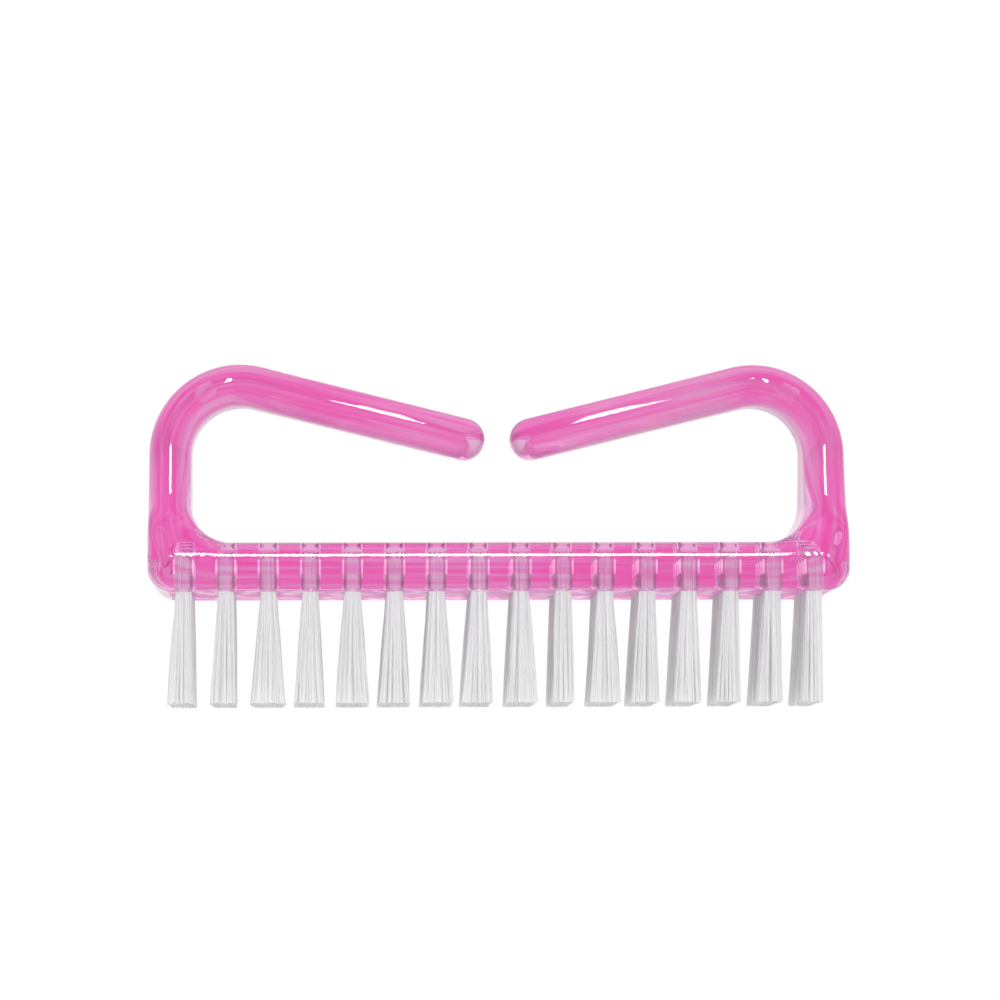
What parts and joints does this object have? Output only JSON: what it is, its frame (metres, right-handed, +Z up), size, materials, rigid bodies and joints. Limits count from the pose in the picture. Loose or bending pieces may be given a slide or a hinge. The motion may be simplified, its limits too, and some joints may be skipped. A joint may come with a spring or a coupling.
{
  "type": "nail brush",
  "caption": "Hand and nail brush: a clear pink moulded handle with inward finger hooks over a straight base plate set with tufts of pale nylon bristle.",
  "frame": {"origin": "middle of the brush's length and depth, on the plane of the bristle tips", "axes": "+X along the length, +Y through the depth away from the front side, +Z up from the bristle tips to the hooks"},
  "size_m": [0.066, 0.014, 0.0323],
  "materials": {
    "clear_pink_plastic": "polished, clear",
    "nylon_bristle": "drawn filament",
    "anchor_wire": "drawn flat wire"
  },
  "bodies": {
    "root": {"handle": "clear_pink_plastic", "tuft_column_01": "nylon_bristle", "tuft_column_02": "nylon_bristle", "tuft_column_03": "nylon_bristle", "tuft_column_04": "nylon_bristle", "tuft_column_05": "nylon_bristle", "tuft_column_06": "nylon_bristle", "tuft_column_07": "nylon_bristle", "tuft_column_08": "nylon_bristle", "tuft_column_09": "nylon_bristle", "tuft_column_10": "nylon_bristle", "tuft_column_11": "nylon_bristle", "tuft_column_12": "nylon_bristle", "tuft_column_13": "nylon_bristle", "tuft_column_14": "nylon_bristle", "tuft_column_15": "nylon_bristle", "tuft_column_16": "nylon_bristle", "anchor_column_01": "anchor_wire", "anchor_column_02": "anchor_wire", "anchor_column_03": "anchor_wire", "anchor_column_04": "anchor_wire", "anchor_column_05": "anchor_wire", "anchor_column_06": "anchor_wire", "anchor_column_07": "anchor_wire", "anchor_column_08": "anchor_wire", "anchor_column_09": "anchor_wire", "anchor_column_10": "anchor_wire", "anchor_column_11": "anchor_wire", "anchor_column_12": "anchor_wire", "anchor_column_13": "anchor_wire", "anchor_column_14": "anchor_wire", "anchor_column_15": "anchor_wire", "anchor_column_16": "anchor_wire"}
  },
  "joints": []
}
